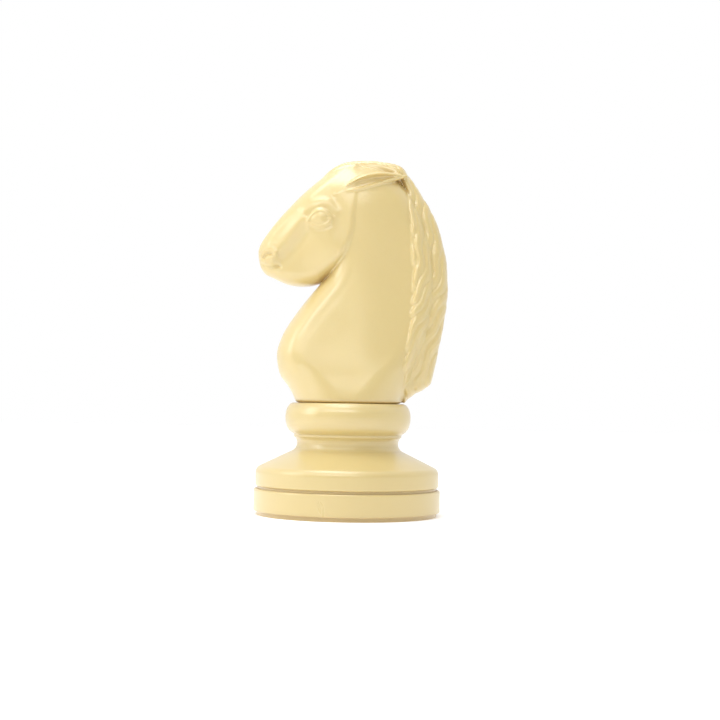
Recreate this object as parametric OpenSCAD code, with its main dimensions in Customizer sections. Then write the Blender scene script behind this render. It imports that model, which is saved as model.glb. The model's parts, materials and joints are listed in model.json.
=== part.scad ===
// Giant lawn chess knight: a hollow moulded foot with sand ballast, a collar ring, and a
// two-part horse head that locks on the foot's spigot with a bayonet.
// Millimetres. +Z is up, the horse faces -X, its left side faces -Y, and the origin is
// the centre of the ring that the piece stands on.

/* [Foot] */
// Diameter of the rim that the piece stands on
base_d = 230; // [226:1:236]
// Height of the straight rim of the tray
rim_h = 32; // [30:0.5:33]
// Thickness of the moulded walls
wall = 3.2; // [2.6:0.1:3.6]
// Depth of the sand on the tray's floor
sand_h = 36; // [20:1:38]

/* [Collar] */
// Greatest diameter of the collar ring
collar_d = 155; // [148:0.2:160]
// Height of the flat top of the collar, where the head sits
seat_z = 137.5; // [136:0.5:139]

/* [Head] */
// Height of the whole piece, to the top of the forelock
total_h = 440; // [430:1:450]
// Number of rings that the skin of the head is drawn with
skin_rings = 52; // [40:1:60]

/* [Bayonet] */
// Outer diameter of the spigot that carries the head
spigot_d = 68; // [66:0.5:69]
// Width of each lug, in degrees
lug_angle = 30; // [24:1:32]
// Turn that frees the head, in degrees
unlock_angle = 60; // [56:1:64]

/* [Filler plug] */
// Mean diameter of the plug's thread
thread_d = 40; // [38:0.5:41]
// Pitch of the plug's thread
thread_pitch = 4; // [3.5:0.5:5]

/* [Hidden] */
$fn = 96;

ivory = [0.93, 0.85, 0.65];
ivory_inside = [0.88, 0.80, 0.60];
rubber_black = [0.12, 0.12, 0.12];
steel = [0.72, 0.73, 0.75];
sand = [0.76, 0.66, 0.46];

// Clearances: a turned fit, a fit round a soft ring, and a gap that stays open.
fit_gap = 0.1;
close_gap = 0.05;
open_gap = 0.3;

// Tray: its floor hangs clear of the ground inside the ring that carries the piece.
base_r = base_d / 2;
foot_edge_r = 1.5;
foot_recess_w = 4;
foot_recess_h = 5;
rim_top_r = 2.2;
ring_w = 10;
floor_z = 6;
floor_t = 4;
floor_top = floor_z + floor_t;
rim_in_r = base_r - 4.5;
ledge_z = 18;
ledge_in_r = base_r - 11;
under_rib_t = 2.4;
under_rib_z = 2.5;
under_rib_h = floor_z - under_rib_z + 1;
under_ring_r = 64;

// Joint between tray and shell: the skirt stands inside the rim, on a gasket on the ledge.
gasket_t = 2;
skirt_r = rim_in_r - open_gap;
skirt_t = 2.7;
skirt_z = ledge_z + gasket_t;
shoulder_z = rim_h + 2.8;

// Outline of the shell: straight side, round shoulder, straight slope, hollow waist.
shell_r = base_r - 2;
shell_lip_r = shell_r - skirt_r;
shoulder_arc_r = 9.5;
shoulder_arc_z = 51;
slope_normal = 62;
waist_r = 62.5;
waist_z = 88;
waist_arc_r = 10.5;
roof_z = 99;
roof_r = waist_r + 4.2;
roof_arc_end = 128;

// Six screws hold the tray to bosses under the shell.
screw_count = 6;
screw_ring_r = 92;
boss_r = 6;
shank_r = 2;
pilot_r = 2.05;
screw_head_r = 4.4;
screw_head_h = 3;
hex_r = 2;
hex_depth = 1.6;
tray_shank_l = 26;

// Collar ring, an upright oval in section.
collar_oval_w = 9.7;
collar_oval_z = 120.5;
collar_oval_r = collar_d / 2 - collar_oval_w;
collar_low_h = 19.5;
collar_low_angle = -72;
collar_high_h = seat_z - collar_oval_z;
collar_hub_t = 3;
collar_foot_w = 2;

// Spigot, its lugs and its rubber ring.
spigot_r = spigot_d / 2;
spigot_top = 176;
lug_count = 3;
lug_out = 2.8;
lug_z = 162;
lug_h = 5;
ring_section_r = 2;
ring_centre_r = spigot_r + 1.1;
ring_z = 152;

// Socket in the head: a ring in its bore passes under the lugs, and blocks end the turn.
socket_in_r = spigot_r + lug_out + 0.4;
socket_t = 3;
socket_top = 184;
passage_r = socket_in_r + fit_gap;
lock_ring_h = 5;
lock_ring_z = lug_z - lock_ring_h - open_gap;
lock_ring_r = spigot_r + 0.4;
block_top_z = lug_z + lug_h + 1;
slot_half_angle = lug_angle / 2 + 2;
flange_t = 6;
flange_r = 59.2;
flange_top = seat_z + flange_t;
socket_screw_r = 53;
socket_screw_angles = [50, 130];
socket_boss_h = 24;
socket_boss_r = 7;
boss_web_l = 24;
boss_web_t = 3;
counterbore_h = 3.4;
counterbore_r = 4.8;
socket_shank_l = 18;

// Screws through the seam of the head, driven from its right side: [x, height above the seat].
seam_screws = [[-60, 56], [60, 56], [62, 165], [34, 254], [-62, 190]];
seam_head_y = 20;
seam_depth = 16;
seam_boss_r = 6.5;
clear_r = 2.3;

// Filler neck, plug and washer in the middle of the tray.
thread_r = thread_d / 2;
thread_wave = 0.8;
thread_clear = 0.45;
thread_sides = 24;
thread_steps = 10;
neck_r = thread_r + 5.4;
neck_flange_r = neck_r + 5;
neck_flange_t = 2.5;
neck_top = 24;
washer_t = 1.8;
washer_in_r = thread_r + 1.2;
washer_r = neck_r + 1;
plug_flange_t = 3;
plug_flange_r = washer_r + 1.4;
plug_top = 20;
coin_slot_w = 3;
coin_slot_l = 34;
coin_slot_depth = 5;

// Rings of the head. Each row holds the front point and the back point of one ring in the
// plane y = 0 (x, height above the seat), then its half width and its squareness (2 is an
// oval). The rings climb the neck, fan round the throat and end at the nose.
head_rows = [
    [-65, 0, 65, 0, 65, 2],
    [-70, 10, 78, 10, 62.5, 2],
    [-79, 24, 101, 25, 59, 2.1],
    [-88, 47, 109, 54, 54.5, 2.2],
    [-88, 67, 115, 86, 51, 2.3],
    [-78, 92, 120, 118, 46.5, 2.4],
    [-59, 119, 122.6, 150, 42.5, 2.5],
    [-44, 140, 120, 180, 40.5, 2.6],
    [-38, 147, 111, 214, 39, 2.6],
    [-40, 147.5, 97, 246, 38, 2.6],
    [-44, 146.5, 79, 274, 36.5, 2.5],
    [-48, 145.5, 56, 297.5, 35, 2.4],
    [-52, 144.5, 26, 302.2, 35, 2.3],
    [-57, 143.5, -2, 301, 36.5, 2.3],
    [-63, 143.5, -25, 291, 38, 2.4],
    [-70, 144, -45, 272, 37.5, 2.5],
    [-78, 146, -63, 255, 35, 2.5],
    [-87, 150, -79, 237, 31.5, 2.5],
    [-96, 154.5, -94, 219, 28, 2.5],
    [-104, 158.5, -106, 202, 25, 2.5],
    [-110.5, 165.5, -112.5, 190, 20.5, 2.4],
    [-113.5, 172, -114.7, 184, 12, 2.2]
];
outline_h = 302.5;
rise = (total_h - seat_z) / outline_h;
skin_sides = 32;
cavity_rings = 40;
cavity_sides = 26;
cavity_start = 0.5;
cavity_end = 20;
overlap = 1;

// ---------------------------------------------------------------- curves and skins

function arc(cx, cz, rx, rz, from, to, steps = 8) =
    [for (i = [0:steps]) let (a = from + (to - from) * i / steps) [cx + rx * cos(a), cz + rz * sin(a)]];

function reverse(list) = [for (i = [len(list) - 1:-1:0]) list[i]];

// The smooth curve through the rows of a list, at t from 0 to its last index.
function along(rows, t) =
    let (i = min(floor(t), len(rows) - 2), u = t - i)
    let (a = rows[max(i - 1, 0)], b = rows[i], c = rows[i + 1], d = rows[min(i + 2, len(rows) - 1)])
    0.5 * (2 * b + (c - a) * u + (2 * a - 5 * b + 4 * c - d) * u * u + (3 * b - a - 3 * c + d) * u * u * u);

function signed_power(v, p) = sign(v) * pow(abs(v), p);

// The point of a head ring at an angle: 0 is the front, 90 the left side, 180 the back.
function ring_point(row, angle, inset) =
    let (front = [row[0], row[1]], back = [row[2], row[3]], length = norm(back - front))
    let (reach = (length / 2 - inset) * signed_power(cos(angle), 2 / row[5]))
    let (at = (front + back) / 2 + (front - back) / length * reach)
    [at[0], -(row[4] - inset) * signed_power(sin(angle), 2 / row[5]), seat_z + at[1] * rise];

// A closed skin over rings with the same number of points.
module skin(rings) {
    sides = len(rings[0]);
    last = len(rings) - 1;
    polyhedron([for (ring = rings) each ring], concat(
        [for (r = [0:last - 1]) for (i = [0:sides - 1]) let (a = r * sides + i, b = r * sides + (i + 1) % sides)
            each [[a, a + sides, b], [b, a + sides, b + sides]]],
        [[for (i = [0:sides - 1]) i]],
        [[for (i = [sides - 1:-1:0]) last * sides + i]]), convexity = 6);
}

module ring_sector(r_in, r_out, z, h, from, to)
    translate([0, 0, z]) rotate([0, 0, from])
        rotate_extrude(angle = to - from) translate([r_in, 0]) square([r_out - r_in, h]);

module tube(r_in, r_out, z, h) translate([0, 0, z]) difference() {
    cylinder(r = r_out, h = h);
    translate([0, 0, -overlap]) cylinder(r = r_in, h = h + 2 * overlap);
}

// A pan-head screw: the head's underside is at z = 0 and the shank runs up.
module screw(length) {
    translate([0, 0, -screw_head_h]) difference() {
        cylinder(r = screw_head_r, h = screw_head_h);
        translate([0, 0, -overlap]) cylinder(r = hex_r, h = hex_depth + overlap, $fn = 6);
    }
    cylinder(r = shank_r, h = length);
}

// ---------------------------------------------------------------- foot

module tray_screw_places() for (i = [0:screw_count - 1]) rotate([0, 0, (i + 0.5) * 360 / screw_count])
    translate([screw_ring_r, 0, 0]) children();

module foot_tray() color(ivory) {
    difference() {
        rotate_extrude() polygon(concat(
            [[neck_r + close_gap, floor_z], [base_r - ring_w, floor_z], [base_r - ring_w, 0],
             [base_r - foot_recess_w, 0], [base_r - foot_recess_w, foot_recess_h]],
            arc(base_r - foot_edge_r, foot_recess_h + foot_edge_r, foot_edge_r, foot_edge_r, 270, 360),
            arc(base_r - rim_top_r, rim_h - rim_top_r, rim_top_r, rim_top_r, 0, 90),
            [[rim_in_r, rim_h], [rim_in_r, ledge_z], [ledge_in_r, ledge_z], [ledge_in_r, floor_top],
             [neck_r + close_gap, floor_top]]));
        tray_screw_places() translate([0, 0, floor_z - overlap]) cylinder(r = clear_r, h = floor_t + 2 * overlap);
    }
    tube(under_ring_r - under_rib_t, under_ring_r, under_rib_z, under_rib_h);
    for (i = [0:screw_count - 1]) rotate([0, 0, i * 360 / screw_count])
        translate([neck_flange_r + 3, -under_rib_t / 2, under_rib_z])
            cube([base_r - ring_w - neck_flange_r - 2, under_rib_t, under_rib_h]);
}

module tray_gasket() color(rubber_black) tube(skirt_r - skirt_t, skirt_r, ledge_z, gasket_t);

function shell_line(inset) = concat(
    arc(shell_r - shoulder_arc_r, shoulder_arc_z, shoulder_arc_r - inset, shoulder_arc_r - inset, 0, slope_normal),
    arc(waist_r + waist_arc_r, waist_z, waist_arc_r + inset, waist_arc_r + inset, 180 + slope_normal, roof_arc_end));

module foot_shell() color(ivory) {
    difference() {
        rotate_extrude() polygon(concat(
            [[skirt_r - skirt_t, skirt_z], [skirt_r, skirt_z]],
            arc(shell_r - shell_lip_r, shoulder_z + shell_lip_r, shell_lip_r, shell_lip_r, 270, 360),
            shell_line(0),
            [[roof_r, roof_z], [spigot_r, roof_z], [spigot_r, spigot_top],
             [spigot_r - wall, spigot_top], [spigot_r - wall, roof_z], [0, roof_z], [0, roof_z - wall],
             [waist_r - wall, roof_z - wall]],
            reverse([for (p = shell_line(wall)) if (p[1] < waist_z) p]),
            [[skirt_r - skirt_t, shoulder_arc_z - 6]]));
        translate([0, 0, ring_z]) rotate_extrude() translate([ring_centre_r, 0]) circle(r = ring_section_r + close_gap);
    }
    for (i = [0:lug_count - 1]) rotate([0, 0, i * 360 / lug_count])
        ring_sector(spigot_r - overlap, spigot_r + lug_out, lug_z, lug_h, -lug_angle / 2, lug_angle / 2);
    intersection() {
        tray_screw_places() translate([0, 0, floor_top]) difference() {
            cylinder(r = boss_r, h = roof_z);
            translate([0, 0, -overlap]) cylinder(r = pilot_r, h = tray_shank_l + overlap);
        }
        rotate_extrude() polygon(concat(
            [[0, 0], [skirt_r - skirt_t, 0], [skirt_r - skirt_t, shoulder_arc_z - 6]],
            [for (p = shell_line(overlap)) if (p[1] < waist_z) p], [[0, waist_z]]));
    }
}

module tray_screws() color(steel) tray_screw_places() translate([0, 0, floor_z]) screw(tray_shank_l);

module sand_ballast() color(sand) difference() {
    translate([0, 0, floor_top]) cylinder(r = ledge_in_r - open_gap, h = sand_h);
    translate([0, 0, floor_top - overlap]) cylinder(r = neck_flange_r + open_gap, h = neck_top - floor_top + 2 * overlap);
    tray_screw_places() translate([0, 0, floor_top - overlap]) cylinder(r = boss_r + open_gap, h = sand_h + 2 * overlap);
}

// ---------------------------------------------------------------- filler

// A right-handed rounded thread about the Z axis.
module thread(r, z_from, z_to) {
    steps = ceil((z_to - z_from) / thread_pitch * thread_steps);
    skin([for (s = [0:steps]) let (z = z_from + (z_to - z_from) * s / steps)
        [for (i = [0:thread_sides - 1]) let (a = 360 * i / thread_sides)
            let (at = r + thread_wave * cos(a - 360 * z / thread_pitch)) [at * cos(a), at * sin(a), z]]]);
}

module filler_neck() color(ivory_inside) difference() {
    union() {
        translate([0, 0, floor_z]) cylinder(r = neck_r, h = neck_top - floor_z);
        translate([0, 0, floor_top]) cylinder(r = neck_flange_r, h = neck_flange_t);
    }
    thread(thread_r + thread_clear, floor_z - thread_pitch, neck_top + thread_pitch);
}

module plug_washer() color(rubber_black) tube(washer_in_r, washer_r, floor_z - washer_t, washer_t);

module filler_plug() color(ivory_inside) difference() {
    union() {
        thread(thread_r, floor_z - washer_t - overlap, plug_top);
        translate([0, 0, floor_z - washer_t - plug_flange_t]) cylinder(r = plug_flange_r, h = plug_flange_t);
    }
    translate([0, 0, floor_z - washer_t - plug_flange_t + coin_slot_depth])
        cube([coin_slot_l, coin_slot_w, 2 * coin_slot_depth], center = true);
    translate([0, 0, floor_z + 2]) cylinder(r = thread_r - 4, h = plug_top);
}

// ---------------------------------------------------------------- collar and rubber ring

module collar() color(ivory) rotate_extrude() polygon(concat(
    [[collar_oval_r, seat_z], [spigot_r + fit_gap, seat_z], [spigot_r + fit_gap, roof_z],
     [spigot_r + collar_hub_t, roof_z], [spigot_r + collar_hub_t, seat_z - wall],
     [collar_oval_r, seat_z - wall]],
    reverse(arc(collar_oval_r, collar_oval_z, collar_oval_w - wall, collar_high_h - wall, 0, 90)),
    reverse(arc(collar_oval_r, collar_oval_z, collar_oval_w - wall, collar_low_h - wall, collar_low_angle, 0)),
    [[roof_r - collar_foot_w, roof_z], [roof_r, roof_z]],
    arc(collar_oval_r, collar_oval_z, collar_oval_w, collar_low_h, collar_low_angle, 0),
    arc(collar_oval_r, collar_oval_z, collar_oval_w, collar_high_h, 0, 90)));

module spigot_ring() color(rubber_black) translate([0, 0, ring_z])
    rotate_extrude() translate([ring_centre_r, 0]) circle(r = ring_section_r);

// ---------------------------------------------------------------- head

module seam_screw_places() for (p = seam_screws) translate([p[0], 0, seat_z + p[1] * rise])
    rotate([-90, 0, 0]) children();

module socket_screw_places() for (a = socket_screw_angles) for (side = [-1, 1]) rotate([0, 0, a * side])
    translate([socket_screw_r, 0, 0]) children();

// The left half of the head as a solid block, with its flat face on the plane y = 0.
module head_block() skin([for (s = [0:skin_rings]) let (row = along(head_rows, (len(head_rows) - 1) * s / skin_rings))
    [for (i = [0:skin_sides / 2]) ring_point(row, 360 * i / skin_sides, 0)]]);

// The hollow of the head: a round recess for the socket's flange, and the space above it
// less the bosses of both sets of screws and the webs that tie the lower ones to the wall.
module head_hollow() {
    translate([0, 0, seat_z - overlap]) cylinder(r = flange_r + fit_gap, h = flange_t + overlap);
    difference() {
        skin([for (s = [0:cavity_rings]) let (t = cavity_start + (cavity_end - cavity_start) * s / cavity_rings)
            [for (i = [0:cavity_sides - 1]) ring_point(along(head_rows, t), 360 * (i + 0.5) / cavity_sides, wall)]]);
        seam_screw_places() cylinder(r = seam_boss_r, h = 200, center = true);
        socket_screw_places() translate([0, 0, flange_top - overlap]) {
            cylinder(r = socket_boss_r, h = socket_boss_h);
            translate([0, -boss_web_t / 2, 0]) cube([boss_web_l, boss_web_t, socket_boss_h]);
        }
    }
}

module head_half() difference() {
    head_block();
    head_hollow();
    socket_screw_places() translate([0, 0, seat_z]) cylinder(r = pilot_r, h = flange_t + socket_shank_l);
}

module head_left() color(ivory) difference() {
    head_half();
    seam_screw_places() cylinder(r = pilot_r, h = 2 * seam_depth + overlap, center = true);
}

module head_right() color(ivory) difference() {
    mirror([0, 1, 0]) head_half();
    seam_screw_places() cylinder(r = clear_r, h = 2 * seam_head_y + overlap, center = true);
    seam_screw_places() translate([0, 0, seam_head_y]) cylinder(r = counterbore_r, h = 100);
}

module head_screws() color(steel) seam_screw_places() translate([0, 0, seam_head_y]) mirror([0, 0, 1])
    screw(seam_head_y + seam_depth);

// The bore narrows to a ring under and beside the lugs. The lugs pass down through the slots
// and turn in the passages as far as the blocks between passage and slot.
module head_socket() color(ivory_inside) difference() {
    union() {
        translate([0, 0, seat_z]) cylinder(r = socket_in_r + socket_t, h = socket_top - seat_z);
        translate([0, 0, seat_z]) cylinder(r = flange_r, h = flange_t);
    }
    translate([0, 0, seat_z - overlap]) cylinder(r = lock_ring_r, h = socket_top - seat_z + 2 * overlap);
    translate([0, 0, seat_z - overlap]) cylinder(r = socket_in_r, h = lock_ring_z - seat_z + overlap);
    translate([0, 0, block_top_z]) cylinder(r = socket_in_r, h = socket_top - block_top_z + overlap);
    for (i = [0:lug_count - 1]) rotate([0, 0, i * 360 / lug_count]) {
        ring_sector(spigot_r, passage_r, lock_ring_z - overlap, block_top_z - lock_ring_z + 3 * overlap,
            -unlock_angle - slot_half_angle, -unlock_angle + slot_half_angle);
        ring_sector(spigot_r, passage_r, lock_ring_z + lock_ring_h, block_top_z - lock_ring_z - lock_ring_h + overlap,
            -unlock_angle, lug_angle / 2 + 0.5);
    }
    socket_screw_places() translate([0, 0, seat_z - overlap]) cylinder(r = clear_r, h = flange_t + 2 * overlap);
    socket_screw_places() translate([0, 0, seat_z - overlap]) cylinder(r = counterbore_r, h = counterbore_h + overlap);
}

module socket_screws() color(steel) socket_screw_places() translate([0, 0, seat_z + counterbore_h])
    screw(flange_t - counterbore_h + socket_shank_l);

foot_tray();
filler_neck();
plug_washer();
filler_plug();
tray_gasket();
foot_shell();
tray_screws();
sand_ballast();
collar();
spigot_ring();
head_left();
head_right();
head_screws();
head_socket();
socket_screws();
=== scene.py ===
import math

import bmesh
import bpy
import numpy as np
import openvdb
from mathutils import Matrix, Quaternion, Vector
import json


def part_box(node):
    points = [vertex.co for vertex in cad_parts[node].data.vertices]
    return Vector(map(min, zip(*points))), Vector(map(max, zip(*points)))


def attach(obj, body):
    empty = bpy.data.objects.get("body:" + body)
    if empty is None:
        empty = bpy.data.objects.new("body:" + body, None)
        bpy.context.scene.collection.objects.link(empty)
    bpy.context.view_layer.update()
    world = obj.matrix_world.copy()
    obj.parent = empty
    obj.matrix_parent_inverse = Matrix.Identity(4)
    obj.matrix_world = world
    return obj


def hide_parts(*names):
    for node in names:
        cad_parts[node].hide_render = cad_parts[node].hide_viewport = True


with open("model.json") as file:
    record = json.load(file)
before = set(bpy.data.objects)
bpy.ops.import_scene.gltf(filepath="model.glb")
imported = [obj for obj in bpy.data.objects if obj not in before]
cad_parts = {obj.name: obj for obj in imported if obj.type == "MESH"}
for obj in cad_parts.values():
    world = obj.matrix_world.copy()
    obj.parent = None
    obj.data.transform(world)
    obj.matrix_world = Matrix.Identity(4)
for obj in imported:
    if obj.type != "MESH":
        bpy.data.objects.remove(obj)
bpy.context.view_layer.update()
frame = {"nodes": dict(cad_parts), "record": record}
NODES = frame["nodes"]
MM = 0.001


# ---------------------------------------------------------------- the head's driving sizes, in millimetres
SEAT_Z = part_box("collar")[1].z / MM  # the head stands on the collar's flat top
FOOT_R = -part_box("head_left")[0].y / MM  # radius of the head's round foot
NOSE_X = -115
NOSE_Z = 318
FACE_SLOPE = (0.86, 0.5)  # x and z of the line from the nose to the crown
ROUNDNESS = 2.2  # exponent of the rounded outlines: 2 is elliptical

SKIN_PITCH = 1.25  # grid that the outer skin is drawn on
HOLLOW_PITCH = 3.0  # grid that the cavity is drawn on
MARGIN = 4.0  # of both grids, around the head's box
WALL = 4.0
SEAM_BEVEL = 0.5  # width of the broken edge where the halves meet
SEAM_SINK = 0.3  # depth of that edge
SEAM_START = 1.0  # height above the seat at which it starts
CREASE_ANGLE = math.radians(38)  # edges sharper than this are shaded as edges

FLANGE_TOP = SEAT_Z + 6  # top of the socket's flange, which is let into the head
FLANGE_GAP = 0.1
CAVITY_RISE = 2.0  # thickness of the floor between flange and cavity
SCREW_HEAD_H = 3
SHANK_R = 2
SHANK_GAP = 0.3  # round the shank in the right half, which it passes through
PILOT_GAP = 0.05  # round the shank in the left half, which it bites into
PILOT_DEPTH = 17
WELL_R = 4.8
SEAM_BOSS_R = 6.5
SOCKET_BOSS_R = 7
SOCKET_BOSS_H = 24


# ---------------------------------------------------------------- curves and distances
def spline(points, per_span=10):
    """A smooth line through the points."""
    p = np.array(points, float)
    p = np.vstack([2 * p[0] - p[1], p, 2 * p[-1] - p[-2]])
    t = np.linspace(0, 1, per_span, endpoint=False)[:, None]
    spans = [
        0.5 * (2 * b + (c - a) * t + (2 * a - 5 * b + 4 * c - d) * t**2 + (3 * b - a - 3 * c + d) * t**3)
        for a, b, c, d in zip(p, p[1:], p[2:], p[3:])
    ]
    return np.vstack(spans + [p[-2:-1]])


def outline(*stretches):
    """A closed line of smooth stretches that meet at corners."""
    return np.vstack([spline(s)[:-1] for s in stretches])


def distance(x, z, line, closed=False):
    """Distance of each point of a grid from a line, and how far along the line its nearest point is."""
    ends = np.vstack([line[1:], line[:1]]) if closed else line[1:]
    best = np.full(x.shape, np.inf)
    where = np.zeros(x.shape)
    run = 0.0
    for (ax, az), (bx, bz) in zip(line, ends):
        length = math.hypot(bx - ax, bz - az)
        if length < 1e-9:
            continue
        t = np.clip(((x - ax) * (bx - ax) + (z - az) * (bz - az)) / length**2, 0, 1)
        d = np.hypot(x - ax - t * (bx - ax), z - az - t * (bz - az))
        nearer = d < best
        best = np.where(nearer, d, best)
        where = np.where(nearer, run + t * length, where)
        run += length
    return best, where


def inside_distance(x, z, line):
    """Distance from a closed line, negative outside it."""
    inside = np.zeros(x.shape, bool)
    for (ax, az), (bx, bz) in zip(line, np.vstack([line[1:], line[:1]])):
        if az == bz:
            continue
        crosses = (az > z) != (bz > z)
        inside ^= crosses & (x < ax + (z - az) * (bx - ax) / (bz - az))
    return np.where(inside, 1, -1) * distance(x, z, line, True)[0]


def smooth_step(v):
    v = np.clip(v, 0, 1)
    return v * v * (3 - 2 * v)


def ramp(v, *pairs):
    """A smooth value through (at, value) pairs, level before the first and after the last."""
    at, to = np.array(pairs, float).T
    rise = np.diff(to) / np.diff(at)
    slope = np.zeros(len(at))
    steady = np.append(np.insert(rise[:-1] * rise[1:] > 0, 0, False), False)
    slope[steady] = 2 / (1 / rise[:-1][steady[1:-1]] + 1 / rise[1:][steady[1:-1]])
    i = np.clip(np.searchsorted(at, v) - 1, 0, len(at) - 2)
    h = at[i + 1] - at[i]
    t = np.clip((v - at[i]) / h, 0, 1)
    ends = to[i] * (1 + 2 * t) * (1 - t) ** 2 + to[i + 1] * t * t * (3 - 2 * t)
    return ends + h * (slope[i] * t * (1 - t) ** 2 - slope[i + 1] * t * t * (1 - t))


def blend_min(a, b, k):
    """The lesser of two fields, with a fillet of about k where they meet."""
    h = np.clip(0.5 + 0.5 * (b - a) / k, 0, 1)
    return b + (a - b) * h - k * h * (1 - h)


def mound(x, z, cx, cz, rx, rz, turn=0.0):
    """A soft round bump of height 1; turn is in degrees, anticlockwise."""
    c, s = math.cos(math.radians(turn)), math.sin(math.radians(turn))
    u = ((x - cx) * c + (z - cz) * s) / rx
    v = (-(x - cx) * s + (z - cz) * c) / rz
    return np.exp(-(u * u + v * v))


def groove(x, z, points, width):
    """A soft trough of depth 1 along a smooth line."""
    return np.exp(-((distance(x, z, spline(points))[0] / width) ** 2))


# ---------------------------------------------------------------- the head's side outlines (x, z)
# The neck runs on far below the seat, so that its foot is rounded from its sides only, and is then cut off.
NECK_FRONT = [(-FOOT_R, 20), (-FOOT_R, 100), (-FOOT_R, SEAT_Z - 2), (-73, 155), (-84, 170), (-88.5, 186),
              (-89, 200), (-86, 212), (-80, 226), (-70, 242), (-58, 259), (-47, 273), (-37, 285), (-27, 300),
              (-22, 330), (-28, 368), (-34, 396), (-24, 418), (-6, 430)]
NECK_BACK = [(-6, 430), (14, 434), (40, 428), (62, 411), (78, 388), (92, 358), (102, 326), (106, 292),
             (104, 258), (98, 224), (88, 196), (78, 172), (70, 154), (FOOT_R, SEAT_Z - 2), (FOOT_R, 100),
             (FOOT_R, 20)]
FACE_TOP = [(-114.8, 318), (-114.7, 326), (-111, 335.5), (-102.3, 348.7), (-91.3, 363.2), (-78, 378.2),
            (-64, 393), (-50.5, 405.5), (-37, 417), (-24, 427.5), (-10, 435), (6, 437)]
FACE_BACK = [(6, 437), (13, 420), (13, 395), (10, 369), (8.5, 346), (1, 322), (-15, 302), (-36, 286)]
FACE_UNDER = [(-36, 286), (-48, 282.5), (-62, 281.5), (-76, 283.3), (-88, 287.8), (-97, 292), (-104, 295),
              (-109, 300), (-112.5, 307), (-114.8, 318)]
MANE_OUTER = [(36, 438), (48, 437.5), (60, 432.5), (70, 422), (79, 409), (88, 395.5), (96.5, 382), (104, 367),
              (110.5, 350), (116, 329), (119.7, 307), (121, 285), (119.8, 262), (116.8, 240), (113, 218),
              (108.8, 196), (104.8, 176), (102, 164)]
MANE_END = [(102, 164), (95, 157.5), (85, 152), (76, 146), (69, 139)]
MANE_INNER = [(69, 139), (64, 156), (62, 178), (63.5, 201), (68, 228), (71, 260), (72, 291), (70.5, 331),
              (68.5, 372), (64, 402), (50, 424), (36, 438)]
CHEST = NECK_FRONT[3:14]  # the stretch from the foot to the throat


def plate(y, inside, half, edge):
    """Negative inside a slab of the given half thickness, which is rounded over `edge` at its outline."""
    u = np.clip(1 - inside / edge, 0, None)
    return ((np.abs(y) / half) ** ROUNDNESS + u**ROUNDNESS) ** (1 / ROUNDNESS) * half - half


def neck(x, z):
    """The plate of neck and chest: its inside distance, half thickness and edge, like face and mane below."""
    d = inside_distance(x, z, outline(NECK_FRONT, NECK_BACK))
    half = ramp(z, (130, FOOT_R), (175, 57.5), (210, 51), (240, 46.5), (280, 42), (320, 40), (350, 39.8),
                (375, 40.3), (392, 39), (405, 35.5), (422, 28), (438, 17))
    back = ramp(z, (137, 1), (165, 0.9), (200, 0.72), (430, 0.62))
    half = half * (1 - (1 - back) * smooth_step((x - 5) / 90))
    edge = ramp(z, (130, FOOT_R), (165, 50), (200, 34), (260, 28), (430, 26))
    front = distance(x, z, spline(CHEST))[0]
    crease = np.exp(-(((front - 27) / 6) ** 2)) * smooth_step((z - 160) / 40) * smooth_step((335 - z) / 40)
    return d, half - 0.6 * crease, edge


def face(x, z):
    d = inside_distance(x, z, outline(FACE_TOP, FACE_BACK, FACE_UNDER))
    along = (x - NOSE_X) * FACE_SLOPE[0] + (z - NOSE_Z) * FACE_SLOPE[1]
    bridge = distance(x, z, spline(FACE_TOP))[0]
    half = ramp(along, (-6, 17), (0, 19), (12, 23), (26, 25.5), (42, 28), (60, 32.5), (78, 38), (92, 41.5),
                (112, 42.5), (150, 41))
    half = half * (0.8 + 0.2 * smooth_step(bridge / ramp(along, (0, 16), (60, 24), (120, 36))))
    half = half * ramp(z, (358, 1), (385, 0.93), (405, 0.84), (440, 0.5))
    edge = ramp(x, (NOSE_X, 13), (-80, 15), (-40, 17), (-5, 13), (10, 11))
    return d, half + face_relief(x, z), edge


def face_relief(x, z):
    """What stands proud of the smooth side of the head, and what is sunk in it."""
    relief = 2.4 * mound(x, z, -28, 322, 27, 25)  # jaw muscle
    relief += 2.1 * groove(x, z, [(-96, 314), (-86, 327), (-73, 343), (-58, 361)], 6.5)  # facial crest
    relief -= 2.4 * groove(x, z, [(-88, 308), (-76, 318), (-63, 331), (-53, 346)], 8.5)  # hollow under it
    relief -= 1.6 * groove(x, z, [(-92, 340), (-78, 357), (-66, 371)], 6)  # beside the bridge of the nose
    relief -= 2.4 * mound(x, z, -54, 366, 6, 14, -30)  # in front of the eye
    relief -= 1.8 * mound(x, z, -14, 368, 13, 22)  # temple
    relief += eye(x, z)
    relief += nostril(x, z)
    relief -= 2.3 * groove(x, z, [(-114, 309), (-106, 306), (-97, 303.5), (-87, 304)], 1.8)  # mouth
    relief += 1.3 * groove(x, z, [(-110, 302), (-100, 298), (-90, 297.5)], 4.5)  # lower lip
    relief += 1.3 * groove(x, z, [(-112, 313), (-101, 310), (-90, 309.5)], 3.5)  # upper lip
    return relief


LID_TOP = [(-51.5, 358), (-47, 365), (-39, 369.5), (-31, 367.5), (-25.5, 361)]
LID_LOW = [(-51.5, 358), (-45, 355.5), (-37, 354.5), (-30, 356.5), (-25.5, 361)]


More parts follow.
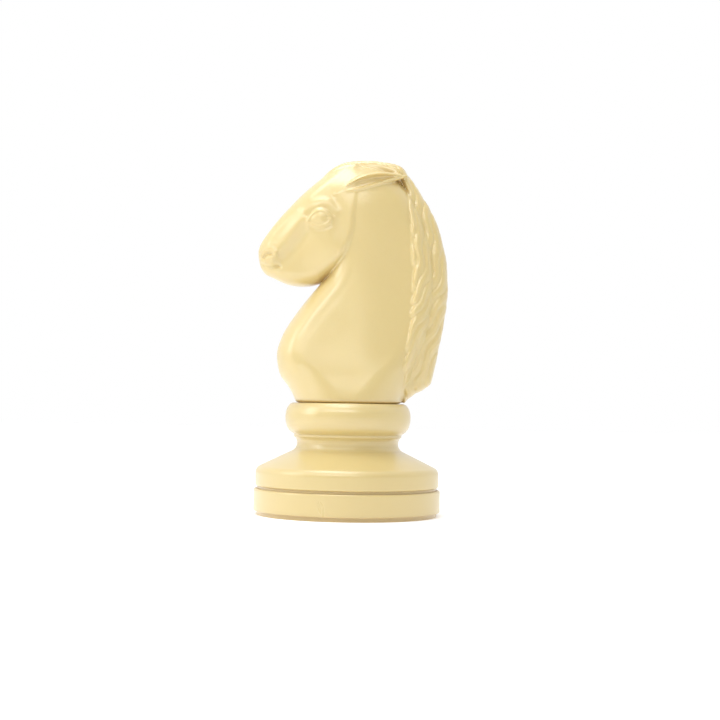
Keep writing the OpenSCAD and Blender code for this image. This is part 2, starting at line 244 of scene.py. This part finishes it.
def eye(x, z):
    """The ball between its two lids, under a brow."""
    opening = inside_distance(x, z, outline(LID_TOP, LID_LOW))
    ball = 1.9 * np.sqrt(1 - (1 - np.clip(opening / 6.5, 0, 1)) ** 2) - 1.2 * smooth_step(opening / 0.8 + 0.5)
    lids = 1.1 * np.exp(-(((opening + 1.7) / 1.6) ** 2))
    socket = 3.4 * mound(x, z, -38, 362, 15, 12)
    fold = groove(x, z, [(-53, 364), (-46, 372), (-38, 375.5), (-29, 373), (-22, 366)], 1.4)
    brow = groove(x, z, [(-56, 372), (-47, 380), (-36, 383), (-25, 379), (-17, 371)], 5)
    bag = groove(x, z, [(-50, 352), (-42, 348.5), (-33, 349), (-25, 353)], 1.8)
    return socket + ball + lids - 0.9 * fold + 1.5 * brow - 1.4 * bag


def nostril(x, z):
    """A hollow with a raised rim round it."""
    rim = distance(x, z, spline([(-107, 315), (-104, 320), (-99, 321.5), (-96, 318.5)]))[0]
    hole = groove(x, z, [(-107, 315.5), (-103, 319), (-98.5, 319)], 2.3)
    return 1.7 * np.exp(-(((rim - 4.3) / 2.2) ** 2)) - 3.6 * hole


def mane(x, z, neck_d, neck_half, neck_edge):
    """Wavy locks that stand proud of the neck, with their tips along the inner line."""
    crest, run = distance(x, z, spline(MANE_OUTER))
    inner = distance(x, z, spline(MANE_INNER))[0]
    phase = (crest - 0.34 * run + 3.5 * np.sin(run / 23) + 2 * np.sin(run / 9.7 + crest / 8)) / 11.5
    lock = np.abs(np.mod(phase, 1) - 0.5) * 2
    fine = 0.5 + 0.5 * np.cos(2 * math.pi * 3 * phase + 1.7 * np.sin(run / 17))
    tips = 2.6 * (0.45 - lock) * np.exp(-((inner / 9) ** 2)) * smooth_step((z - 150) / 20)
    strands = 1.9 * (1 - lock**2.5) + 0.5 * fine
    d = inside_distance(x, z, outline(MANE_OUTER, MANE_END, MANE_INNER)) + tips + 0.4 * strands - 0.4
    under = np.clip(1 - neck_d / neck_edge, 0, 1)
    skin = neck_half * (1 - under**ROUNDNESS) ** (1 / ROUNDNESS)
    taper = ramp(z, (138, 0.4), (160, 0.9), (210, 1.05), (430, 0.8))
    body = ramp(crest, (0, 13), (12, 17), (30, 23), (60, 30)) * taper
    half = np.maximum(body, skin + 2.6 * smooth_step((z - 140) / 20))
    return d, half + strands, ramp(z, (150, 9), (200, 11), (430, 10))


EAR_LINE = [(-18, 392), (-6, 399), (12, 406), (32, 412), (50, 416), (68, 418.5)]


def ear(x, z):
    """One ear as a function of depth, laid back along the side of the head and open to the side."""
    line = spline(EAR_LINE)
    t = (x - line[0, 0]) / (line[-1, 0] - line[0, 0])
    w = (z - np.interp(x, line[:, 0], line[:, 1])) * 0.95
    wide = ramp(t, (-0.08, 0.3), (0.02, 4), (0.16, 8), (0.38, 10.5), (0.6, 9), (0.8, 5.4), (0.94, 2.2),
                (1.02, 0.3))
    deep = ramp(t, (0, 6), (0.3, 11), (0.6, 10), (1, 4))
    centre = ramp(t, (0, 32), (0.35, 31), (0.6, 27), (0.8, 22), (1, 17))
    ends = (np.abs(t - 0.47) - 0.53) * 80
    bowl_flat = ((w - 0.08 * wide) / (0.58 * wide)) ** 2 + ((t - 0.45) / 0.4) ** 2

    def at(y):
        side = np.abs(y) - centre
        solid = (np.sqrt((w / wide) ** 2 + (side / deep) ** 2) - 1) * 0.7 * wide
        bowl = np.sqrt(bowl_flat + ((side - 0.95 * deep) / (0.8 * deep)) ** 2)
        return np.maximum(np.maximum(solid, ends), (1 - bowl) * 4)

    return at


def forelock(x, z):
    """A tuft that falls forward between the ears, as a function of depth."""
    d, run = distance(x, z, spline([(56, 424), (34, 430), (12, 431), (-12, 427), (-30, 415), (-42, 401)]))
    r = ramp(run, (0, 8), (45, 7.5), (82, 6.5), (112, 1.2))
    return lambda y: np.sqrt(d**2 + (y * 0.55) ** 2) - r + 1.1 * np.cos(abs(y) + run / 9)


EAR_FILLET = 1.5
TUFT_FILLET = 4.0
FOOT_ROUNDING = 5.0


def head_field(x, y, z):
    """Negative inside the head. x and z are one flat grid, and y is a list of depths."""
    nd, nh, ne = neck(x, z)
    fd, fh, fe = face(x, z)
    md, mh, me = mane(x, z, nd, nh, ne)
    one_ear, tuft = ear(x, z), forelock(x, z)
    mane_fillet = ramp(z, (150, 9), (175, 1.8))
    face_fillet = ramp(z, (290, 3.5), (340, 5), (380, 7))
    layers = []
    for depth in y:
        f = blend_min(plate(depth, nd, nh, ne), plate(depth, md, mh, me), mane_fillet)
        f = blend_min(f, plate(depth, fd, fh, fe), face_fillet)
        f = blend_min(f, one_ear(depth), EAR_FILLET)
        f = blend_min(f, tuft(depth), TUFT_FILLET)
        layers.append(-blend_min(-f, z - SEAT_Z, FOOT_ROUNDING))
    return np.stack(layers, axis=1)


# ---------------------------------------------------------------- meshes
def head_grid(pitch, y_top):
    """Grid lines round the left half, up to a depth past the seam."""
    lo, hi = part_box("head_left")
    x = np.arange(lo.x / MM - MARGIN, hi.x / MM + MARGIN, pitch)
    y = np.arange(lo.y / MM - MARGIN, y_top, pitch)
    z = np.arange(SEAT_Z - MARGIN, hi.z / MM + MARGIN, pitch)
    return x, y, z


def field_mesh(name, pitch, offset, z_from, y_top):
    """The head's skin as a closed mesh, offset inwards, above a level and up to a depth past the seam."""
    x, y, z = head_grid(pitch, y_top)
    gx, gz = np.meshgrid(x, z, indexing="ij")
    field = np.maximum(head_field(gx, y, gz) + offset, (z_from - gz)[:, None, :])
    field[:, -1, :] = pitch  # outside, so that the mesh is closed there too
    grid = openvdb.FloatGrid(pitch * 3)
    grid.copyFromArray(field.astype(np.float32))
    points, quads = grid.convertToQuads(isovalue=0.0)
    points = (points * pitch + (x[0], y[0], z[0])) * MM
    mesh = bpy.data.meshes.new(name)
    mesh.from_pydata(points.tolist(), [], quads.tolist())
    return mesh


def cut_at_seam(mesh):
    """Keeps the part with y < 0, closes it with a flat face and breaks the edge of the seam."""
    bm = bmesh.new()
    bm.from_mesh(mesh)
    for depth in (0, -SEAM_BEVEL * MM):
        whole = bm.verts[:] + bm.edges[:] + bm.faces[:]
        bmesh.ops.bisect_plane(bm, geom=whole, plane_co=(0, depth, 0), plane_no=(0, 1, 0),
                               clear_outer=depth == 0)
    rim = [e for e in bm.edges if e.is_boundary]
    bm.normal_update()
    for vert in {v for e in rim for v in e.verts}:
        if vert.co.z > (SEAT_Z + SEAM_START) * MM:
            inwards = Vector((vert.normal.x, 0, vert.normal.z)).normalized()
            vert.co -= inwards * SEAM_SINK * MM
    bmesh.ops.holes_fill(bm, edges=rim, sides=0)
    bmesh.ops.recalc_face_normals(bm, faces=bm.faces[:])
    bm.to_mesh(mesh)
    bm.free()
    return mesh


def link(name, mesh):
    obj = bpy.data.objects.new(name, mesh)
    bpy.context.scene.collection.objects.link(obj)
    return obj


def turned(name, profile, places, axis, sides=48):
    """Closed turned shapes at several places: the profile is (radius, distance along the axis) in order."""
    bm = bmesh.new()
    for place in places:
        start = len(bm.verts)
        for i in range(sides):
            angle = 2 * math.pi * i / sides
            for r, along in profile:
                bm.verts.new((r * MM * math.cos(angle), r * MM * math.sin(angle), along * MM))
        bm.verts.ensure_lookup_table()
        added = bm.verts[start:]
        rings = [added[j::len(profile)] for j in range(len(profile))]
        bm.faces.new(rings[0][::-1])
        bm.faces.new(rings[-1])
        for low, high in zip(rings, rings[1:]):
            for i in range(sides):
                bm.faces.new((low[i], low[(i + 1) % sides], high[(i + 1) % sides], high[i]))
        turn = Vector(axis).to_track_quat("Z", "Y").to_matrix().to_4x4()
        move = Matrix.Translation(Vector(place) * MM)
        bmesh.ops.transform(bm, matrix=move @ turn, verts=added)
    mesh = bpy.data.meshes.new(name)
    bm.to_mesh(mesh)
    bm.free()
    return link(name, mesh)


def cut(obj, tool):
    """Cuts a tool away from an object and removes the tool."""
    step = obj.modifiers.new("cut", "BOOLEAN")
    step.operation = "DIFFERENCE"
    step.solver = "MANIFOLD"
    step.object = tool
    result = bpy.data.meshes.new_from_object(obj.evaluated_get(bpy.context.evaluated_depsgraph_get()))
    obj.modifiers.clear()
    obj.data = result
    bpy.data.objects.remove(tool)


def islands(node):
    """The centre of each separate solid of a node, in millimetres."""
    bm = bmesh.new()
    bm.from_mesh(NODES[node].data)  # split along its sharp edges, so its doubles are merged first
    bmesh.ops.remove_doubles(bm, verts=bm.verts, dist=0.01 * MM)
    left_over, centres = set(bm.verts), []
    while left_over:
        stack = [left_over.pop()]
        found = []
        while stack:
            vert = stack.pop()
            found.append(vert.co.copy())
            for edge in vert.link_edges:
                other = edge.other_vert(vert)
                if other in left_over:
                    left_over.remove(other)
                    stack.append(other)
        lo = Vector(map(min, zip(*found)))
        hi = Vector(map(max, zip(*found)))
        centres.append((lo + hi) / 2 / MM)
    bm.free()
    return sorted(centres, key=lambda c: (round(c.x), round(c.y), round(c.z)))


def mirror_y(mesh):
    """Turns a left half into a right one, with its faces still outwards."""
    mesh.transform(Matrix.Scale(-1, 4, (0, 1, 0)))
    mesh.flip_normals()


def hollow(half, side):
    """Cuts all that one half leaves open: side is -1 on the horse's left and 1 on its right."""
    seam_screws = [Vector((c.x, 0, c.z)) for c in islands("head_screws")]
    socket_screws = [Vector((c.x, c.y, FLANGE_TOP)) for c in islands("socket_screws")]
    cavity_z = FLANGE_TOP + CAVITY_RISE
    space = link("space", field_mesh("space", HOLLOW_PITCH, WALL, cavity_z, 4 * HOLLOW_PITCH))
    if side > 0:
        mirror_y(space.data)
    cut(space, turned("bosses", [(SEAM_BOSS_R, -40), (SEAM_BOSS_R, 80)], seam_screws, (0, side, 0)))
    boss = [(SOCKET_BOSS_R, -5), (SOCKET_BOSS_R, SOCKET_BOSS_H)]
    cut(space, turned("bosses", boss, socket_screws, (0, 0, 1)))
    cut(half, space)
    flange_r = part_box("head_socket")[1].x / MM + FLANGE_GAP
    recess = [(flange_r, -10), (flange_r, FLANGE_TOP - SEAT_Z)]
    cut(half, turned("recess", recess, [(0, 0, SEAT_Z)], (0, 0, 1), 96))
    head_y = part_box("head_screws")[1].y / MM - SCREW_HEAD_H
    well = [(SHANK_R + SHANK_GAP, -5), (SHANK_R + SHANK_GAP, head_y), (WELL_R, head_y), (WELL_R, 100)]
    pilot = [(SHANK_R + PILOT_GAP, -5), (SHANK_R + PILOT_GAP, PILOT_DEPTH)]
    cut(half, turned("holes", well if side > 0 else pilot, seam_screws, (0, side, 0)))


def head_half(name, side):
    """One moulded half of the head, in place of its smooth CAD body."""
    half = link(name, cut_at_seam(field_mesh(name, SKIN_PITCH, 0, SEAT_Z, 2.5 * SKIN_PITCH)))
    if side > 0:
        mirror_y(half.data)
    hollow(half, side)
    half.data.name = name
    half.data.materials.clear()
    half.data.shade_smooth()
    half.data.set_sharp_from_angle(angle=CREASE_ANGLE)
    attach(half, "head")
    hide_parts("head_left" if side < 0 else "head_right")
    return half


left = head_half("head_left_skin", -1)
right = head_half("head_right_skin", 1)


# ---------------------------------------------------------------- materials
class Paint:
    """A procedural material on the object's own coordinates, in metres."""

    def __init__(self, name, **sockets):
        self.material = bpy.data.materials.new(name)
        self.material.use_nodes = True
        self.tree = self.material.node_tree
        self.shader = self.tree.nodes["Principled BSDF"]
        for socket, value in sockets.items():
            self.shader.inputs[socket.replace("_", " ")].default_value = value
        self.place = self.tree.nodes.new("ShaderNodeTexCoord").outputs["Object"]

    def node(self, kind, links=None, **inputs):
        node = self.tree.nodes.new(kind)
        for socket, value in inputs.items():
            node.inputs[socket.replace("_", " ")].default_value = value
        for socket, source in (links or {}).items():
            self.tree.links.new(source, node.inputs[socket])
        return node

    def stretched(self, x, y, z):
        """The object's coordinates scaled by axis: a low number draws a pattern out along that axis."""
        node = self.node("ShaderNodeMapping", {"Vector": self.place})
        node.inputs["Scale"].default_value = (x, y, z)
        return node.outputs[0]

    def noise(self, scale, detail=2.0, roughness=0.5, place=None):
        links = {"Vector": place or self.place}
        node = self.node("ShaderNodeTexNoise", links, Scale=scale, Detail=detail, Roughness=roughness)
        return node.outputs["Fac"]

    def fit(self, source, low, high, to_low, to_high):
        """Fits one range of values to another, and holds what is past its ends."""
        node = self.node("ShaderNodeMapRange", {"Value": source}, From_Min=low, From_Max=high,
                         To_Min=to_low, To_Max=to_high)
        return node.outputs["Result"]

    def mix(self, amount, a, b):
        """Mixes two colours, each an RGB triple or the output of a node."""
        node = self.tree.nodes.new("ShaderNodeMix")
        node.data_type = "RGBA"
        self.tree.links.new(amount, node.inputs["Factor"])
        for socket, value in zip((s for s in node.inputs if s.type == "RGBA"), (a, b)):
            if isinstance(value, tuple):
                socket.default_value = (*value, 1)
            else:
                self.tree.links.new(value, socket)
        return next(s for s in node.outputs if s.type == "RGBA")

    def maths(self, operation, a, b):
        node = self.tree.nodes.new("ShaderNodeMath")
        node.operation = operation
        for socket, value in zip(node.inputs, (a, b)):
            if isinstance(value, (int, float)):
                socket.default_value = value
            else:
                self.tree.links.new(value, socket)
        return node.outputs[0]

    def height(self):
        return self.node("ShaderNodeSeparateXYZ", {"Vector": self.place}).outputs["Z"]

    def crevices(self, reach):
        """1 on open surfaces, and less where another surface is near."""
        return self.node("ShaderNodeAmbientOcclusion", Distance=reach).outputs["AO"]

    def bumps(self, *layers):
        """Bump layers as (height source, depth in metres)."""
        normal = None
        for source, depth in layers:
            links = {"Height": source}
            if normal:
                links["Normal"] = normal
            normal = self.node("ShaderNodeBump", links, Strength=1.0, Distance=depth).outputs["Normal"]
        self.tree.links.new(normal, self.shader.inputs["Normal"])

    def colour(self, source):
        self.tree.links.new(source, self.shader.inputs["Base Color"])

    def roughness(self, source):
        self.tree.links.new(source, self.shader.inputs["Roughness"])


def ivory_plastic():
    """Glossy moulded plastic, with painted shade deeper in its creases and painted shade darker towards the
    foot; faintly rubbed.
    """
    paint = Paint("ivory_plastic", Subsurface_Weight=0.15, Subsurface_Radius=(0.006, 0.004, 0.002),
                  Subsurface_Scale=1.0, Specular_IOR_Level=1.0, Coat_Weight=0.5, Coat_Roughness=0.3)
    age = paint.fit(paint.noise(6, 1), 0.3, 0.7, 0, 1)
    base = paint.mix(age, (0.665, 0.525, 0.228), (0.65, 0.508, 0.214))
    speck = paint.fit(paint.noise(420, 2, 0.5), 0.5, 0.8, 0, 0.3)
    base = paint.mix(speck, base, (0.635, 0.49, 0.2))
    # painted shade: a darker, deeper colour in creases and recesses, wherever another surface is near
    crease = paint.fit(paint.crevices(0.012), 0.25, 0.85, 0.7, 0)
    base = paint.mix(crease, base, (0.56, 0.37, 0.12))
    # painted shade: darker and browner over the lowest centimetre, towards the floor
    painted_foot_shade = paint.fit(paint.height(), 0.0, 0.01, 0.3, 0)
    paint.colour(paint.mix(painted_foot_shade, base, (0.42, 0.31, 0.15)))
    rubbed = paint.fit(paint.noise(18, 2, 0.5), 0.4, 0.75, 0, 0.08)
    scratches = paint.fit(paint.noise(150, 3, 0.5, paint.stretched(9, 9, 0.5)), 0.55, 0.8, 0, 0.06)
    gloss = paint.fit(paint.noise(10, 1), 0.3, 0.7, 0.27, 0.32)
    paint.roughness(paint.maths("ADD", gloss, paint.maths("MAXIMUM", rubbed, scratches)))
    paint.bumps((paint.noise(24, 1), 0.0004), (paint.noise(420, 2), 0.00003))
    return paint.material


def inner_plastic():
    """Unpolished plastic with the fine grain of an eroded mould."""
    paint = Paint("inner_plastic", Specular_IOR_Level=0.45, Subsurface_Weight=0.1,
                  Subsurface_Radius=(0.004, 0.003, 0.002), Subsurface_Scale=1.0)
    cloud = paint.fit(paint.noise(18, 4), 0.35, 0.65, 0, 1)
    paint.colour(paint.mix(cloud, (0.66, 0.53, 0.26), (0.60, 0.47, 0.22)))
    paint.roughness(paint.fit(paint.noise(120, 4), 0.3, 0.7, 0.48, 0.62))
    paint.bumps((paint.noise(900, 3, 0.6), 0.00012), (paint.noise(24, 2), 0.0004))
    return paint.material


def seal_rubber():
    """Black rubber, dusted grey where it has bloomed."""
    paint = Paint("seal_rubber", Specular_IOR_Level=0.35)
    bloom = paint.fit(paint.noise(55, 5, 0.65), 0.45, 0.75, 0, 0.6)
    paint.colour(paint.mix(bloom, (0.016, 0.016, 0.017), (0.07, 0.068, 0.064)))
    paint.roughness(paint.fit(paint.noise(200, 4), 0.3, 0.7, 0.55, 0.8))
    paint.bumps((paint.noise(1400, 2), 0.00008), (paint.noise(90, 3), 0.0002))
    return paint.material


def zinc_steel():
    """Zinc-plated steel, drawn marks along the shanks and a faint blue and yellow tint."""
    paint = Paint("zinc_steel", Metallic=1.0)
    tint = paint.fit(paint.noise(140, 3), 0.35, 0.65, 0, 1)
    paint.colour(paint.mix(tint, (0.60, 0.62, 0.66), (0.66, 0.63, 0.55)))
    paint.roughness(paint.fit(paint.noise(300, 4, 0.6, paint.stretched(1, 1, 8)), 0.3, 0.7, 0.24, 0.46))
    paint.bumps((paint.noise(800, 3, 0.6, paint.stretched(1, 1, 6)), 0.00004),)
    return paint.material


def sand():
    """Dry washed sand of mixed grains."""
    paint = Paint("sand", Specular_IOR_Level=0.3)
    grain = paint.node("ShaderNodeTexVoronoi", {"Vector": paint.place}, Scale=900.0)
    tone = paint.fit(grain.outputs["Color"], 0, 1, 0, 1)
    base = paint.mix(tone, (0.50, 0.37, 0.20), (0.74, 0.62, 0.42))
    dark = paint.fit(paint.noise(700, 2), 0.62, 0.7, 0, 0.8)
    paint.colour(paint.mix(dark, base, (0.16, 0.12, 0.09)))
    paint.roughness(paint.fit(grain.outputs["Distance"], 0, 0.6, 0.75, 0.95))
    paint.bumps((grain.outputs["Distance"], 0.0006), (paint.noise(40, 4), 0.003))
    return paint.material


FINISHES = {made.__name__: made() for made in (ivory_plastic, inner_plastic, seal_rubber, zinc_steel, sand)}
for part in frame["record"]["subparts"]:
    for material_slot in NODES[part["node"]].material_slots:
        material_slot.material = FINISHES[part["material_slot"]]
for half in (left, right):
    half.data.materials.append(FINISHES["ivory_plastic"])


# ---------------------------------------------------------------- stage
FLOOR_REACH = 6.0  # in metres from the object, on each side
corners = [(x * FLOOR_REACH, y * FLOOR_REACH, 0) for x, y in ((-1, -1), (1, -1), (1, 1), (-1, 1))]
floor_mesh = bpy.data.meshes.new("floor")
floor_mesh.from_pydata(corners, [], [(0, 1, 2, 3)])
floor = link("floor", floor_mesh)
floor_paint = Paint("floor", Emission_Color=(1, 1, 1, 1), Emission_Strength=0.3)
floor_paint.colour(floor_paint.mix(floor_paint.noise(3, 3), (0.88, 0.88, 0.88), (0.92, 0.92, 0.92)))
floor_paint.roughness(floor_paint.fit(floor_paint.noise(8, 3), 0.3, 0.7, 0.8, 0.95))
floor.data.materials.append(floor_paint.material)

TENT_FRONT = 0.35  # strength on the camera's side
TENT_BACK = 1.0

# The studio: a light tent, bright behind, above and beside the object and dimmer on the camera's side.
world = bpy.data.worlds.new("studio")
bpy.context.scene.world = world
world.use_nodes = True
tree = world.node_tree
background = tree.nodes["Background"]
background.inputs["Color"].default_value = (1, 1, 1, 1)
coordinate = tree.nodes.new("ShaderNodeTexCoord")
split = tree.nodes.new("ShaderNodeSeparateXYZ")
shade = tree.nodes.new("ShaderNodeMapRange")
shade.inputs["From Min"].default_value = -0.95
shade.inputs["From Max"].default_value = 0.35
shade.inputs["To Min"].default_value = TENT_FRONT
shade.inputs["To Max"].default_value = TENT_BACK
shade.interpolation_type = "SMOOTHSTEP"
tree.links.new(coordinate.outputs["Generated"], split.inputs[0])
tree.links.new(split.outputs["Y"], shade.inputs["Value"])
tree.links.new(shade.outputs["Result"], background.inputs["Strength"])


def softbox(name, place, size, power):
    """A rectangular lamp that faces the middle of the object."""
    data = bpy.data.lights.new(name, "AREA")
    data.shape = "RECTANGLE"
    data.size, data.size_y = size
    data.energy = power
    obj = bpy.data.objects.new(name, data)
    obj.location = place
    obj.rotation_mode = "QUATERNION"
    obj.rotation_quaternion = (LAMP_TARGET - Vector(place)).to_track_quat("-Z", "Y")
    bpy.context.scene.collection.objects.link(obj)


LAMP_TARGET = Vector((0, 0, 0.25))
softbox("top_light", (-0.2, -0.2, 1.35), (0.9, 0.6), 7)
softbox("key_light", (-0.35, -1.25, 1.1), (1.6, 0.25), 8)
softbox("left_light", (-1.25, -0.35, 0.75), (0.5, 0.8), 4)

CAMERA_PLACE = (0.0136, -1.662, 0.137)
CAMERA_PITCH = math.radians(1.88)
CAMERA_ROLL = math.radians(1.0)
camera_data = bpy.data.cameras.new("camera")
camera_data.lens = 67.0
camera_data.sensor_width = 36.0
camera = bpy.data.objects.new("camera", camera_data)
camera.location = CAMERA_PLACE
camera.rotation_mode = "QUATERNION"
forward = Vector((0, math.cos(CAMERA_PITCH), math.sin(CAMERA_PITCH)))
camera.rotation_quaternion = forward.to_track_quat("-Z", "Y") @ Quaternion((0, 0, 1), CAMERA_ROLL)
bpy.context.scene.collection.objects.link(camera)
bpy.context.scene.camera = camera
bpy.context.scene.view_settings.view_transform = "Standard"
